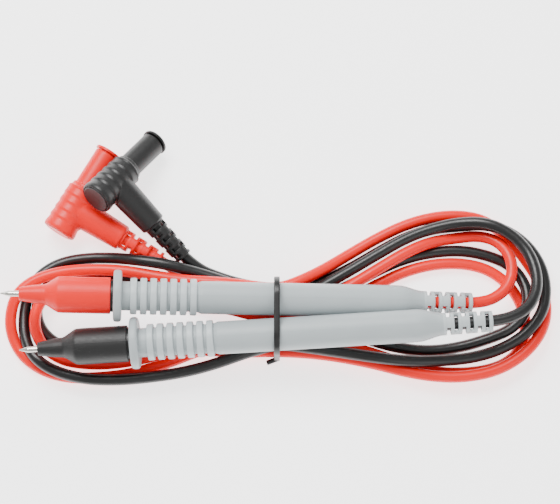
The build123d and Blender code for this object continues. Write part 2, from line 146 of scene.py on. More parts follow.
# ---- turned metal: a wave texture turns 20 radians in each scaled unit ----
WAVE_RADIANS = 20
SMEAR_SIZE = 1.2 * MM
METAL_EDGE = 0.08 * MM
RING_DEPTH = 0.01 * MM
RING_BUMP = 0.35
SMEAR_GLOSS = (-0.08, 0.14)

# ---- view ----
VIEW_ELEVATION = 79.0
VIEW_DISTANCE = 0.600
VIEW_AIM = Vector((0.011, 0.0253, 0.0))
LENS = 115.7

# ---- light and floor: place, size and watts of each softbox ----
KEY_LIGHT = (Vector((-0.2, 0.45, 0.65)), (0.5, 0.35), 9.0)
FILL_LIGHT = (Vector((0.35, -0.45, 0.55)), (0.7, 0.5), 1.6)
WORLD_STRENGTH = 0.75
FLOOR_GLOW = 2.2
FLOOR_REACH = 4
WHITE = (1, 1, 1, 1)

RED_ROUTE = [
    (-0.03407, 0.02483, 0.00383), (-0.0251, 0.01944, 0.0031), (-0.015, 0.0143, 0.00195),
    (-0.0035, 0.0091, 0.00195), (0.01, 0.0035, 0.0036), (0.02, 0.0034, 0.0026),
    (0.032, 0.008, 0.0019), (0.044, 0.0144, 0.0019), (0.053, 0.0186, 0.0019),
    (0.063, 0.021, 0.0019), (0.0725, 0.021, 0.0019), (0.0805, 0.0188, 0.0019),
    (0.0869, 0.0138, 0.0019), (0.091, 0.007, 0.0019), (0.0923, -0.0008, 0.0019),
    (0.0902, -0.008, 0.0019), (0.0846, -0.0129, 0.0019), (0.0764, -0.0152, 0.0019),
    (0.066, -0.0157, 0.0019), (0.056, -0.0141, 0.0019), (0.0475, -0.011, 0.0019),
    (0.0375, -0.0077, 0.0019), (0.025, -0.0053, 0.0024), (0.01, -0.0044, 0.0036),
    (-0.003, -0.005, 0.0022), (-0.014, -0.0074, 0.0019), (-0.025, -0.012, 0.0019),
    (-0.037, -0.0157, 0.0019), (-0.048, -0.0171, 0.0019), (-0.058, -0.0172, 0.0019),
    (-0.0668, -0.0149, 0.0019), (-0.0736, -0.01, 0.0019), (-0.0772, -0.0036, 0.0019),
    (-0.078, 0.0026, 0.0032), (-0.076, 0.0096, 0.0056), (-0.0706, 0.0146, 0.0059),
    (-0.061, 0.0177, 0.0058), (-0.05, 0.0184, 0.0058), (-0.04, 0.0179, 0.0058),
    (-0.03, 0.016, 0.0063), (-0.02, 0.014, 0.009), (-0.01, 0.0133, 0.01),
    (0.0, 0.0123, 0.0098), (0.01, 0.0114, 0.0072), (0.018, 0.0145, 0.0064),
    (0.0255, 0.0185, 0.0046), (0.034, 0.024, 0.0024), (0.043, 0.0294, 0.0019),
    (0.0525, 0.0341, 0.0019), (0.062, 0.0368, 0.0019), (0.071, 0.0374, 0.0019),
    (0.079, 0.0358, 0.0019), (0.0856, 0.0308, 0.0019), (0.0908, 0.0246, 0.0019),
    (0.0952, 0.018, 0.0019), (0.0986, 0.0108, 0.0019), (0.0989, 0.0032, 0.0026),
    (0.096, -0.004, 0.0046), (0.09, -0.0106, 0.0056), (0.0815, -0.0154, 0.0057),
    (0.071, -0.0174, 0.0056), (0.061, -0.0171, 0.0052), (0.051, -0.0153, 0.005),
    (0.04, -0.0122, 0.0038), (0.025, -0.0094, 0.0031), (0.01, -0.0085, 0.0036),
    (0.0, -0.0088, 0.0031), (-0.009, -0.0086, 0.0052), (-0.018, -0.0085, 0.0058),
    (-0.027, -0.0092, 0.0048), (-0.036, -0.0113, 0.002), (-0.045, -0.0126, 0.0019),
    (-0.053, -0.0126, 0.0019), (-0.0606, -0.0114, 0.0023), (-0.0666, -0.0074, 0.0044),
    (-0.0696, -0.0012, 0.0058), (-0.069, 0.0056, 0.0058), (-0.0649, 0.011, 0.0058),
    (-0.0584, 0.0134, 0.0056), (-0.05, 0.0138, 0.0046), (-0.04, 0.0124, 0.0024),
    (-0.03, 0.0102, 0.0019), (-0.018, 0.0078, 0.0019), (-0.007, 0.0058, 0.0035),
    (0.002, 0.003, 0.006), (0.01, 0.0016, 0.0071), (0.019, 0.0036, 0.0066),
    (0.028, 0.0092, 0.0057), (0.036, 0.014, 0.0058), (0.044, 0.0189, 0.0058),
    (0.0525, 0.0241, 0.0057), (0.061, 0.0279, 0.0046), (0.07, 0.0296, 0.0022),
    (0.0775, 0.0302, 0.003), (0.0836, 0.0276, 0.0052), (0.0872, 0.022, 0.0068),
    (0.0872, 0.0153, 0.0078), (0.0839, 0.0098, 0.0087), (0.0772, 0.00645, 0.0092),
    (0.07029, 0.0065, 0.00974),
]
BLACK_ROUTE = [
    (-0.02513, 0.02719, 0.00619), (-0.01771, 0.01959, 0.00334), (-0.008, 0.0158, 0.00195),
    (0.001, 0.0134, 0.00195), (0.01, 0.012, 0.0036), (0.019, 0.0132, 0.0022),
    (0.027, 0.0158, 0.0019), (0.0355, 0.02, 0.0019), (0.044, 0.0251, 0.0019),
    (0.0525, 0.0297, 0.0019), (0.061, 0.0326, 0.0019), (0.07, 0.0335, 0.0026),
    (0.079, 0.0336, 0.0057), (0.087, 0.031, 0.0059), (0.0934, 0.0258, 0.0058),
    (0.0974, 0.0188, 0.0058), (0.0986, 0.011, 0.0058), (0.0969, 0.0034, 0.0064),
    (0.0914, -0.0034, 0.0064), (0.0835, -0.0082, 0.0058), (0.074, -0.011, 0.0054),
    (0.064, -0.012, 0.0058), (0.054, -0.0124, 0.0074), (0.044, -0.0115, 0.0082),
    (0.032, -0.0096, 0.0074), (0.02, -0.0078, 0.0072), (0.01, -0.0066, 0.0072),
    (0.0, -0.0096, 0.0074), (-0.01, -0.0131, 0.0062), (-0.02, -0.0157, 0.0057),
    (-0.031, -0.0174, 0.0057), (-0.043, -0.0184, 0.0058), (-0.054, -0.0179, 0.0058),
    (-0.064, -0.0149, 0.0058), (-0.0702, -0.01, 0.0055), (-0.0731, -0.0034, 0.003),
    (-0.0735, 0.004, 0.0019), (-0.0724, 0.011, 0.0019), (-0.0686, 0.0172, 0.0019),
    (-0.062, 0.0213, 0.0019), (-0.053, 0.0229, 0.0019), (-0.044, 0.0226, 0.0036),
    (-0.035, 0.021, 0.008), (-0.026, 0.0195, 0.0085), (-0.017, 0.0173, 0.0066),
    (-0.007, 0.0142, 0.0061), (0.001, 0.0111, 0.0054), (0.01, 0.0073, 0.0036),
    (0.022, 0.0086, 0.0019), (0.033, 0.013, 0.0019), (0.044, 0.0191, 0.0019),
    (0.053, 0.0229, 0.0019), (0.0625, 0.025, 0.0019), (0.072, 0.0254, 0.0019),
    (0.0805, 0.0236, 0.0019), (0.088, 0.0202, 0.0019), (0.0926, 0.0126, 0.0039),
    (0.0921, 0.0046, 0.0059), (0.087, -0.0016, 0.0059), (0.0795, -0.0044, 0.0034),
    (0.0705, -0.007, 0.0019), (0.06, -0.0084, 0.0019), (0.049, -0.0072, 0.0019),
    (0.037, -0.0034, 0.0019), (0.024, -0.0012, 0.0024), (0.01, -0.0004, 0.0036),
    (-0.003, -0.0009, 0.0022), (-0.016, -0.0034, 0.0019), (-0.029, -0.006, 0.0019),
    (-0.042, -0.008, 0.0019), (-0.052, -0.0083, 0.0019), (-0.0604, -0.0069, 0.0019),
    (-0.0662, -0.0033, 0.0019), (-0.0693, 0.0022, 0.0019), (-0.0692, 0.0086, 0.0019),
    (-0.0658, 0.0139, 0.0019), (-0.06, 0.0169, 0.0019), (-0.051, 0.0176, 0.0019),
    (-0.0405, 0.0166, 0.0019), (-0.03, 0.0144, 0.0019), (-0.02, 0.012, 0.0028),
    (-0.012, 0.0104, 0.0057), (-0.002, 0.0078, 0.0072), (0.01, 0.0056, 0.0072),
    (0.019, 0.0094, 0.0062), (0.027, 0.0138, 0.0057), (0.0355, 0.0188, 0.0057),
    (0.044, 0.0239, 0.0057), (0.0525, 0.0288, 0.0057), (0.061, 0.032, 0.0059),
    (0.07, 0.0338, 0.0072), (0.079, 0.0334, 0.0096), (0.0866, 0.0298, 0.0098),
    (0.0922, 0.0238, 0.0104), (0.0946, 0.0163, 0.0122), (0.0942, 0.0094, 0.0144),
    (0.0907, 0.0033, 0.0167), (0.0832, -0.00055, 0.01795), (0.07599, -0.00096, 0.01776),
]


# ======================= places =======================
def direction(turn, tilt):
    """Unit vector turned about +Z from +X, then tilted up, in degrees."""
    flat = math.cos(math.radians(tilt))
    return Vector(
        (
            flat * math.cos(math.radians(turn)),
            flat * math.sin(math.radians(turn)),
            math.sin(math.radians(tilt)),
        )
    )


def place_of(origin, along, across):
    """Matrix whose local Z runs along a piece, with local X as near to across as it can be."""
    z = along.normalized()
    x = (across - z * across.dot(z)).normalized()
    turn = Matrix((x, z.cross(x), z)).transposed()
    return Matrix.Translation(origin) @ turn.to_4x4()


MOUNTS = {mount["name"]: mount for mount in frame["record"]["mounts"]}


def probe_place(colour):
    mount = MOUNTS[colour + "_needle_tip"]
    along = -Vector(mount["axis"])
    return place_of(Vector(mount["pos_m"]) - along * MOUNT_FROM_TIP, along, Vector((0, 0, 1)))


def plug_place(colour):
    mount = MOUNTS[colour + "_banana_plug"]
    along = Vector(mount["axis"])
    end = Vector(mount["pos_m"]) - along * MOUNT_FROM_PLUG_END
    return place_of(end, along, direction(*ARM_DIRECTIONS[colour]))


PROBES = {colour: probe_place(colour) for colour in ("red", "black")}
PLUGS = {colour: plug_place(colour) for colour in ("red", "black")}


# ======================= camera, light and floor =======================
def look_at(item, aim):
    item.rotation_euler = (aim - item.location).to_track_quat("-Z", "Y").to_euler()


def make_camera():
    camera = bpy.data.objects.new("camera", bpy.data.cameras.new("camera"))
    camera.data.lens = LENS
    camera.data.sensor_width = 36.0
    camera.data.clip_start = 0.01
    tilt = math.radians(VIEW_ELEVATION)
    camera.location = VIEW_AIM + VIEW_DISTANCE * Vector((0, -math.cos(tilt), math.sin(tilt)))
    look_at(camera, VIEW_AIM)
    bpy.context.collection.objects.link(camera)
    bpy.context.scene.camera = camera


def make_softbox(name, place, size, power):
    light = bpy.data.objects.new(name, bpy.data.lights.new(name, "AREA"))
    light.data.shape = "RECTANGLE"
    light.data.size, light.data.size_y = size
    light.data.energy = power
    light.location = place
    look_at(light, Vector((0, 0, 0)))
    bpy.context.collection.objects.link(light)


# ======================= materials =======================
def linear(hex_colour):
    """sRGB hex to linear RGBA."""
    channels = [int(hex_colour[at : at + 2], 16) / 255 for at in (1, 3, 5)]
    return [c / 12.92 if c <= 0.04045 else ((c + 0.055) / 1.055) ** 2.4 for c in channels] + [1]


def add(tree, kind, inputs=None, **settings):
    """Add a node with its settings, then fill or link its inputs."""
    node = tree.nodes.new(kind)
    for name, value in settings.items():
        setattr(node, name, value)
    for socket, value in (inputs or {}).items():
        if isinstance(value, bpy.types.NodeSocket):
            tree.links.new(value, node.inputs[socket])
        else:
            node.inputs[socket].default_value = value
    return node


def new_material(name, roughness, ior=1.5, metallic=0.0):
    material = bpy.data.materials.new(name)
    material.use_nodes = True
    shader = material.node_tree.nodes["Principled BSDF"]
    shader.inputs["Roughness"].default_value = roughness
    shader.inputs["IOR"].default_value = ior
    shader.inputs["Metallic"].default_value = metallic
    return material, material.node_tree, shader


def local_position(tree, place):
    """Object coordinates turned onto a piece's own axis, with local Z along it."""
    position = add(tree, "ShaderNodeTexCoord").outputs["Object"]
    if place is None:
        return position
    mapping = add(
        tree,
        "ShaderNodeMapping",
        {
            "Vector": position,
            "Location": place.to_translation(),
            "Rotation": place.to_euler(),
        },
        vector_type="TEXTURE",
    )
    return mapping.outputs["Vector"]


def moulded(
    name,
    colour,
    deep,
    roughness,
    grain,
    relief,
    place=None,
    seam=0.0,
    scuff=None,
    ior=1.5,
    edge=0.2,
):
    """Moulded or extruded plastic: cloudy colour, spark-eroded grain, eased edges, and
    where asked a parting line down both sides and pale rubbed streaks. Grain, relief, seam
    and edge are in millimetres."""
    material, tree, shader = new_material(name, roughness, ior)
    position = local_position(tree, place)
    cloud = add(
        tree, "ShaderNodeTexNoise", {"Vector": position, "Scale": 1 / CLOUD_SIZE, "Detail": 3.0}
    )
    tone = add(
        tree,
        "ShaderNodeMix",
        {"Factor": cloud.outputs["Fac"], "A": linear(deep), "B": linear(colour)},
        data_type="RGBA",
    ).outputs["Result"]
    pits = add(
        tree, "ShaderNodeTexNoise", {"Vector": position, "Scale": 1 / (grain * MM), "Detail": 4.0}
    ).outputs["Fac"]
    gloss = add(
        tree,
        "ShaderNodeMapRange",
        {
            "Value": pits,
            "From Min": PIT_RANGE[0],
            "From Max": PIT_RANGE[1],
            "To Min": roughness - GLOSS_SPREAD,
            "To Max": roughness + GLOSS_SPREAD,
        },
    ).outputs["Result"]
    height = pits
    if seam:
        split = add(tree, "ShaderNodeSeparateXYZ", {"Vector": position})
        away = add(tree, "ShaderNodeMath", {0: split.outputs["Y"]}, operation="ABSOLUTE")
        ridge = add(
            tree,
            "ShaderNodeMapRange",
            {
                "Value": away.outputs["Value"],
                "From Min": 0.0,
                "From Max": seam * MM,
                "To Min": SEAM_HEIGHT,
                "To Max": 0.0,
            },
        )
        height = add(
            tree, "ShaderNodeMath", {0: pits, 1: ridge.outputs["Result"]}, operation="ADD"
        ).outputs["Value"]
    if scuff:
        stretched = add(
            tree,
            "ShaderNodeVectorMath",
            {0: position, 1: (1.0, 1.0, STREAK_STRETCH)},
            operation="MULTIPLY",
        ).outputs["Vector"]
        streaks = add(
            tree,
            "ShaderNodeTexNoise",
            {"Vector": stretched, "Scale": 1 / STREAK_WIDTH, "Detail": 6.0, "Roughness": 0.7},
        ).outputs["Fac"]
        rubbed = add(
            tree,
            "ShaderNodeMapRange",
            {
                "Value": streaks,
                "From Min": RUB_RANGE[0],
                "From Max": RUB_RANGE[1],
                "To Max": RUB_STRENGTH,
            },
        ).outputs["Result"]
        tone = add(
            tree,
            "ShaderNodeMix",
            {"Factor": rubbed, "A": tone, "B": linear(scuff)},
            data_type="RGBA",
        ).outputs["Result"]
        height = add(
            tree, "ShaderNodeMath", {0: height, 1: rubbed}, operation="SUBTRACT"
        ).outputs["Value"]
    eased = add(tree, "ShaderNodeBevel", {"Radius": edge * MM}, samples=EDGE_SAMPLES)
    bump = add(
        tree,
        "ShaderNodeBump",
        {
            "Strength": PLASTIC_BUMP,
            "Distance": relief * MM,
            "Height": height,
            "Normal": eased.outputs["Normal"],
        },
    )
    tree.links.new(tone, shader.inputs["Base Color"])
    tree.links.new(gloss, shader.inputs["Roughness"])
    tree.links.new(bump.outputs["Normal"], shader.inputs["Normal"])
    return material


def turned_metal(name, colour, roughness, place, pitch):
    """Bare or plated metal with turning rings round its axis, 2 pi times pitch apart. Pitch
    is in millimetres, drawn coarser than real rings so that they show."""
    material, tree, shader = new_material(name, roughness, metallic=1.0)
    shader.inputs["Base Color"].default_value = linear(colour)
    position = local_position(tree, place)
    rings = add(
        tree,
        "ShaderNodeTexWave",
        {
            "Vector": position,
            "Scale": 1 / (pitch * MM) / WAVE_RADIANS,
            "Distortion": 1.5,
            "Detail": 2.0,
        },
        bands_direction="Z",
    ).outputs["Fac"]
    smear = add(
        tree, "ShaderNodeTexNoise", {"Vector": position, "Scale": 1 / SMEAR_SIZE, "Detail": 4.0}
    ).outputs["Fac"]
    gloss = add(
        tree,
        "ShaderNodeMapRange",
        {
            "Value": smear,
            "To Min": roughness + SMEAR_GLOSS[0],
            "To Max": roughness + SMEAR_GLOSS[1],
        },
    ).outputs["Result"]
    eased = add(tree, "ShaderNodeBevel", {"Radius": METAL_EDGE}, samples=EDGE_SAMPLES)
    bump = add(
        tree,
        "ShaderNodeBump",
        {
            "Strength": RING_BUMP,
            "Distance": RING_DEPTH,
            "Height": rings,
            "Normal": eased.outputs["Normal"],
        },
    )
    tree.links.new(gloss, shader.inputs["Roughness"])
    tree.links.new(bump.outputs["Normal"], shader.inputs["Normal"])
    return material


# ======================= turned pieces =======================
def eased_outline(outline, radius):
    """A closed (radius, height) outline with each corner rounded, and a point kept just
    beyond each rounding so that the flat between two corners shades flat."""
    points = []
    for index, corner in enumerate(outline):
        here = Vector(corner)
        back = Vector(outline[index - 1]) - here
        on = Vector(outline[(index + 1) % len(outline)]) - here
        reach = min(radius, CORNER_SHARE * back.length, CORNER_SHARE * on.length)
        first = here + back.normalized() * reach
        last = here + on.normalized() * reach
        points.append(here + back.normalized() * reach * CORNER_GUARD)
        for step in range(CORNER_STEPS):
            t = step / (CORNER_STEPS - 1)
            points.append(first * (1 - t) ** 2 + here * 2 * t * (1 - t) + last * t**2)
        points.append(here + on.normalized() * reach * CORNER_GUARD)
    return points


def turned(name, outline, radius, place, material, body=ROOT):
    """Closed ring-shaped outline turned round local Z and put in its place."""
    points = eased_outline(outline, radius)
    count = len(points)
    corners = []
    for turn in range(TURN_SEGMENTS):
        angle = math.tau * turn / TURN_SEGMENTS
        for r, z in points:
            corners.append(place @ Vector((r * math.cos(angle), r * math.sin(angle), z)))
    faces = []
    for turn in range(TURN_SEGMENTS):
        here, there = turn * count, (turn + 1) % TURN_SEGMENTS * count
        for index in range(count):
            after = (index + 1) % count
            faces.append((here + index, here + after, there + after, there + index))
    mesh = bpy.data.meshes.new(name)
    mesh.from_pydata(corners, [], faces)
    return shown(name, mesh, material, body)


def shown(name, mesh, material, body):
    """Face outwards, smooth, and link a finished mesh, riding on its body."""
    work = bmesh.new()
    work.from_mesh(mesh)
    bmesh.ops.recalc_face_normals(work, faces=work.faces)
    work.to_mesh(mesh)
    work.free()
    mesh.shade_smooth()
    piece = bpy.data.objects.new(name, mesh)
    mesh.materials.clear()
    mesh.materials.append(material)
    bpy.context.collection.objects.link(piece)
    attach(piece, body)
    return piece


def make_tip_cap(colour):
    """Push-on cap: slim nose, soft shoulder, straight skirt with a rounded mouth."""
    bore = CAP_BORE_D / 2
    hole = SHANK_D / 2 + CAP_HOLE_CLEARANCE
    outline = [
        (hole, CAP_FRONT),
        (CAP_NOSE_D / 2, CAP_FRONT),
        (CAP_NECK_D / 2 - CAP_NECK_IN, CAP_FRONT + CAP_NOSE_LENGTH),
        (CAP_NECK_D / 2, CAP_CONE_START),
        (CAP_D / 2 - CAP_SHOULDER_IN, CAP_SHOULDER),
        (CAP_D / 2, CAP_SHOULDER + CAP_SHOULDER_LENGTH),
        (CAP_D / 2, CAP_MOUTH),
        (bore, CAP_MOUTH),
        (bore, CAP_SHOULDER + CAP_ROOF),
        (hole, CAP_SHOULDER + CAP_ROOF),
    ]
    body = colour + "_tip_cap_body"
    piece = turned(colour + "_soft_cap", outline, CAP_EASING, PROBES[colour], CAP[colour], body)
    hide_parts(colour + "_tip_cap")


def taper_radius(share):
    """Barrel radius over the tapered end, easing in and out."""
    ease = (1 + math.cos(math.pi * share)) / 2
    return HANDLE_END_D / 2 + (BARREL_D - HANDLE_END_D) / 2 * ease


def make_handle(colour):
    """Barrel, tapered cord end and round-rimmed finger guard; the ribs come after."""
    core = GRIP_CORE_D / 2
    taper = [
        (
            taper_radius(step / TAPER_STEPS),
            BARREL_END + (HANDLE_END - BARREL_END) * step / TAPER_STEPS,
        )
        for step in range(TAPER_STEPS + 1)
    ]
    bore = CORE_TAIL_D / 2
    barrel = [
        (bore, GUARD_START + GUARD_WIDTH / 2),
        (core, GUARD_START + GUARD_WIDTH / 2),
        (core, BARREL_START - BARREL_RAMP[0]),
        (BARREL_D / 2, BARREL_START + BARREL_RAMP[1]),
        *taper,
        (HANDLE_BORE_D / 2, HANDLE_END),
        (HANDLE_BORE_D / 2, CORE_TAIL_END),
        (bore, CORE_TAIL_END),
    ]
    guard = [
        (bore, GUARD_START),
        (GUARD_D / 2, GUARD_START),
        (GUARD_D / 2, GUARD_START + GUARD_WIDTH),
        (bore, GUARD_START + GUARD_WIDTH),
    ]
    place = PROBES[colour]
    grey = HANDLE_GREY[colour]
    body = turned(colour + "_barrel", barrel, BARREL_EASING, place, grey)
    rim = turned(colour + "_finger_guard", guard, GUARD_EASING, place, grey)
    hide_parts(colour + "_handle")


# ======================= moulded pieces, softened from their plain solids =======================
def softened(node, voxel, passes, material):
    """The CAD node's shape with its edges and inner corners rounded as a mould leaves them."""
    mesh = frame["nodes"][node].data.copy()
    work = bmesh.new()
    work.from_mesh(mesh)
    bmesh.ops.remove_doubles(work, verts=work.verts, dist=MERGE_DISTANCE)
    work.to_mesh(mesh)
    work.free()
    holder = bpy.data.objects.new("holder", mesh)
    bpy.context.collection.objects.link(holder)
    skin = holder.modifiers.new("skin", "REMESH")
    skin.mode = "VOXEL"
    skin.voxel_size = voxel
    ease = holder.modifiers.new("ease", "SMOOTH")
    ease.factor = SMOOTH_FACTOR
    ease.iterations = passes
    ready = holder.evaluated_get(bpy.context.evaluated_depsgraph_get())
    soft = bpy.data.meshes.new_from_object(ready)
    bpy.data.objects.remove(holder)
    piece = shown(node + "_moulded", soft, material, ROOT)
    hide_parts(node)
    return piece


# ======================= repeated shapes, by Geometry Nodes =======================
def named_inputs(tree, sizes):
    """Give the tree its sizes, its plastic and its output, and return what it is given."""
    for name, (kind, value) in sizes.items():
        tree.interface.new_socket(name, in_out="INPUT", socket_type=kind).default_value = value
    tree.interface.new_socket("Plastic", in_out="INPUT", socket_type="NodeSocketMaterial")
    tree.interface.new_socket("Geometry", in_out="OUTPUT", socket_type="NodeSocketGeometry")
    return add(tree, "NodeGroupInput").outputs


def rounded_bar(tree, path, thick, width, easing):
    """Sweep an eased thick by width section along a curve."""
    section = add(
        tree, "GeometryNodeCurvePrimitiveQuadrilateral", {"Width": thick, "Height": width}
    ).outputs[0]
    eased = add(
        tree,
        "GeometryNodeFilletCurve",
        {"Curve": section, "Radius": easing, "Count": FILLET_STEPS},
        mode="POLY",
    ).outputs[0]
    return add(
        tree,
        "GeometryNodeCurveToMesh",
        {"Curve": path, "Profile Curve": eased, "Fill Caps": True},
    ).outputs[0]


def painted_output(tree, geometry, plastic):
    real = add(tree, "GeometryNodeRealizeInstances", {"Geometry": geometry}).outputs[0]
    painted = add(tree, "GeometryNodeSetMaterial", {"Geometry": real, "Material": plastic})
    add(tree, "NodeGroupOutput", {"Geometry": painted.outputs[0]})


def grown(tree, sizes, material):
    """Run a tree once with these sizes and return the plain mesh."""
    holder = bpy.data.objects.new("holder", bpy.data.meshes.new("holder"))
    bpy.context.collection.objects.link(holder)
    modifier = holder.modifiers.new("shape", "NODES")
    modifier.node_group = tree
    values = {**sizes, "Plastic": material}
    for item in tree.interface.items_tree:
        if item.in_out == "INPUT" and item.name in values:
            modifier[item.identifier] = values[item.name]
    ready = holder.evaluated_get(bpy.context.evaluated_depsgraph_get())
    mesh = bpy.data.meshes.new_from_object(ready)
    holder.modifiers.remove(modifier)
    bpy.data.objects.remove(holder)
    return mesh


def rib_tree():
    """Rounded rings in a row along local Z, from named sizes."""
    tree = bpy.data.node_groups.new("grip_ribs", "GeometryNodeTree")
    sizes = {
        "Rib Count": ("NodeSocketInt", RIB_COUNT),
        "Pitch": ("NodeSocketFloat", RIB_PITCH),
        "Outer Radius": ("NodeSocketFloat", RIB_D / 2),
        "Core Radius": ("NodeSocketFloat", GRIP_CORE_D / 2 - RIB_SINK),
        "Width": ("NodeSocketFloat", RIB_WIDTH),
        "First Middle": ("NodeSocketFloat", RIB_START + RIB_WIDTH / 2),
    }
    given = named_inputs(tree, sizes)
    reach = add(
        tree,
        "ShaderNodeMath",
        {0: given["Outer Radius"], 1: given["Core Radius"]},
        operation="SUBTRACT",
    ).outputs[0]
    middle = add(
        tree,
        "ShaderNodeMath",
        {0: given["Outer Radius"], 1: given["Core Radius"]},
        operation="ADD",
    ).outputs[0]
    radius = add(tree, "ShaderNodeMath", {0: middle, 1: 0.5}, operation="MULTIPLY").outputs[0]
    circle = add(
        tree, "GeometryNodeCurvePrimitiveCircle", {"Resolution": TURN_SEGMENTS, "Radius": radius}
    ).outputs[0]
    ring = rounded_bar(tree, circle, reach, given["Width"], RIB_EASING)
    start = add(tree, "ShaderNodeCombineXYZ", {"Z": given["First Middle"]}).outputs[0]
    step = add(tree, "ShaderNodeCombineXYZ", {"Z": given["Pitch"]}).outputs[0]
    row = add(
        tree,
        "GeometryNodeMeshLine",
        {"Count": given["Rib Count"], "Start Location": start, "Offset": step},
    ).outputs[0]
    ribs = add(tree, "GeometryNodeInstanceOnPoints", {"Points": row, "Instance": ring}).outputs[0]
    painted_output(tree, ribs, given["Plastic"])
    return tree


def make_ribs(colour, tree):
    # The ribs take the paler grey: painted highlight on their rims.
    mesh = grown(tree, {}, RIB_PAINTED_HIGHLIGHT_GREY[colour])
    mesh.transform(PROBES[colour])
    piece = shown(colour + "_grip_ribs", mesh, RIB_PAINTED_HIGHLIGHT_GREY[colour], ROOT)


def boot_tree():
    """Slotted strain relief along local Z: eased rings, joined by pairs of bridges that
    turn a quarter from one slot to the next."""
    tree = bpy.data.node_groups.new("slotted_boot", "GeometryNodeTree")
    sizes = {
        "Slot Count": ("NodeSocketInt", BOOT_SLOTS),
        "Pitch": ("NodeSocketFloat", PROBE_BOOT_LENGTH / (BOOT_SLOTS + BOOT_FIRST_BRIDGE)),
        "Root Radius": ("NodeSocketFloat", PROBE_BOOT_D[0] / 2),
        "Tip Share": ("NodeSocketFloat", PROBE_BOOT_D[1] / PROBE_BOOT_D[0]),
        "Bore Radius": ("NodeSocketFloat", CORD_D / 2),
        "Slot Width": ("NodeSocketFloat", BOOT_SLOT_WIDTH),
        "Bridge Thickness": ("NodeSocketFloat", BRIDGE_THICKNESS),
    }
    given = named_inputs(tree, sizes)
    pitch = given["Pitch"]
    slots = given["Slot Count"]
    thick = given["Bridge Thickness"]
    radii = {0: given["Root Radius"], 1: given["Bore Radius"]}

    wall = add(tree, "ShaderNodeMath", radii, operation="SUBTRACT").outputs[0]
    across = add(tree, "ShaderNodeMath", radii, operation="ADD").outputs[0]
    middle = add(tree, "ShaderNodeMath", {0: across, 1: 0.5}, operation="MULTIPLY").outputs[0]
    ring_width = add(
        tree, "ShaderNodeMath", {0: pitch, 1: given["Slot Width"]}, operation="SUBTRACT"
    ).outputs[0]
    circle = add(
        tree, "GeometryNodeCurvePrimitiveCircle", {"Resolution": BOOT_SEGMENTS, "Radius": middle}
    ).outputs[0]
    ring = rounded_bar(tree, circle, wall, ring_width, BOOT_EASING)

    half_bridge = add(tree, "ShaderNodeMath", {0: thick, 1: 0.5}, operation="MULTIPLY").outputs[0]
    bridge_at = add(
        tree, "ShaderNodeMath", {0: given["Root Radius"], 1: half_bridge}, operation="SUBTRACT"
    ).outputs[0]
    arc_radius = add(
        tree, "ShaderNodeMath", {0: bridge_at, 1: BRIDGE_SINK}, operation="SUBTRACT"
    ).outputs[0]
    arc = add(
        tree,
        "GeometryNodeCurveArc",
        {
            "Resolution": BRIDGE_SEGMENTS,
            "Radius": arc_radius,
            "Start Angle": -BRIDGE_SWEEP / 2,
            "Sweep Angle": BRIDGE_SWEEP,
        },
        mode="RADIUS",
    ).outputs[0]
    bridge_length = add(
        tree, "ShaderNodeMath", {0: given["Slot Width"], 1: BRIDGE_OVERLAP}, operation="ADD"
    ).outputs[0]
    bridge = rounded_bar(tree, arc, thick, bridge_length, BOOT_EASING / 2)

    index = add(tree, "GeometryNodeInputIndex").outputs[0]
    change = add(
        tree, "ShaderNodeMath", {0: given["Tip Share"], 1: 1.0}, operation="SUBTRACT"
    ).outputs[0]
    drop = add(tree, "ShaderNodeMath", {0: change, 1: slots}, operation="DIVIDE").outputs[0]
    narrowed = add(tree, "ShaderNodeMath", {0: index, 1: drop}, operation="MULTIPLY").outputs[0]
    share = add(tree, "ShaderNodeMath", {0: narrowed, 1: 1.0}, operation="ADD").outputs[0]
    taper = add(tree, "ShaderNodeCombineXYZ", {"X": share, "Y": share, "Z": 1.0}).outputs[0]
    step = add(tree, "ShaderNodeCombineXYZ", {"Z": pitch}).outputs[0]

    def row(count, first, shape, turn):
        """Copies of a shape, one pitch apart, each turned by turn and narrowed by the taper."""
        offset = add(tree, "ShaderNodeMath", {0: pitch, 1: first}, operation="MULTIPLY").outputs[0]
        start = add(tree, "ShaderNodeCombineXYZ", {"Z": offset}).outputs[0]
        line = add(
            tree,
            "GeometryNodeMeshLine",
            {"Count": count, "Start Location": start, "Offset": step},
        ).outputs[0]
        spin = add(tree, "ShaderNodeCombineXYZ", {"Z": turn}).outputs[0]
        copies = add(
            tree,
            "GeometryNodeInstanceOnPoints",
            {"Points": line, "Instance": shape, "Rotation": spin, "Scale": taper},
        )
        return copies.outputs[0]

    quarter = add(
        tree, "ShaderNodeMath", {0: index, 1: math.pi / 2}, operation="MULTIPLY"
    ).outputs[0]
    opposite = add(tree, "ShaderNodeMath", {0: quarter, 1: math.pi}, operation="ADD").outputs[0]
    ring_count = add(tree, "ShaderNodeMath", {0: slots, 1: 1.0}, operation="ADD").outputs[0]
    rings = row(ring_count, BOOT_FIRST_RING, ring, 0.0)
    near = row(slots, BOOT_FIRST_BRIDGE, bridge, quarter)
    far = row(slots, BOOT_FIRST_BRIDGE, bridge, opposite)
    joined = add(tree, "GeometryNodeJoinGeometry")
    for part in (rings, near, far):
        tree.links.new(part, joined.inputs[0])
    painted_output(tree, joined.outputs[0], given["Plastic"])
    return tree


def make_boot(colour, kind, tree, place, diameters, length, material):
    """Slotted boot at its place, standing for the plain CAD one."""
    sizes = {
        "Pitch": length / (BOOT_SLOTS + BOOT_FIRST_BRIDGE),
        "Root Radius": diameters[0] / 2,
        "Tip Share": diameters[1] / diameters[0],
    }
    mesh = grown(tree, sizes, material)
    mesh.transform(place)
    node = colour + "_" + kind
    piece = shown(node + "_slotted", mesh, material, ROOT)
    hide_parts(node)
    return piece


